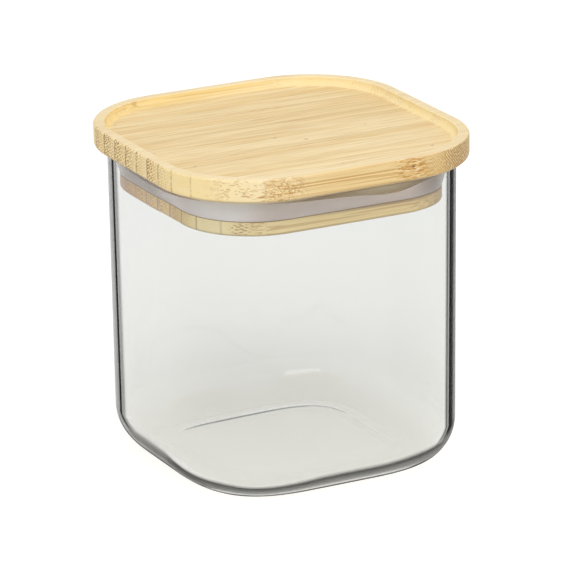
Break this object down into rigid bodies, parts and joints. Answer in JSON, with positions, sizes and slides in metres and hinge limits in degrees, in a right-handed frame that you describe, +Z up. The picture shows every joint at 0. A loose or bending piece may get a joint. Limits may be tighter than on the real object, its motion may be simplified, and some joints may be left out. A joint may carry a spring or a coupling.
{
  "type": "storage jar",
  "caption": "Square clear glass storage jar with round corners and a push-in bamboo lid, sealed by a silicone ring, with a shallow tray on top for stacking.",
  "frame": {"origin": "centre of the jar's base, on the surface it stands on", "axes": "+Z up through the mouth and the lid; X along the bamboo strips of the lid; -Y is the wide face in the reference view"},
  "size_m": [0.11, 0.11, 0.1145],
  "materials": {
    "clear_glass": "clear moulded glass, polished, faint grey-green at the edges",
    "silicone": "soft translucent grey-lilac silicone, satin",
    "bamboo": "sanded and oiled pale bamboo, matt, grain along X"
  },
  "bodies": {
    "jar": {"glass_jar": "clear_glass"},
    "lid": {"seal_ring": "silicone", "lid_strip_01": "bamboo", "lid_strip_02": "bamboo", "lid_strip_03": "bamboo", "lid_strip_04": "bamboo", "lid_strip_05": "bamboo", "lid_strip_06": "bamboo", "lid_strip_07": "bamboo", "lid_strip_08": "bamboo", "lid_strip_09": "bamboo", "lid_strip_10": "bamboo", "lid_strip_11": "bamboo", "lid_strip_12": "bamboo", "lid_strip_13": "bamboo", "lid_strip_14": "bamboo", "lid_strip_15": "bamboo", "lid_sliver_02": "bamboo", "lid_sliver_14": "bamboo"}
  },
  "joints": [
    {"name": "lid_lift", "type": "slide", "parent": "jar", "child": "lid", "axis": [0, 0, 1], "range_m": [0, 0.06]}
  ]
}
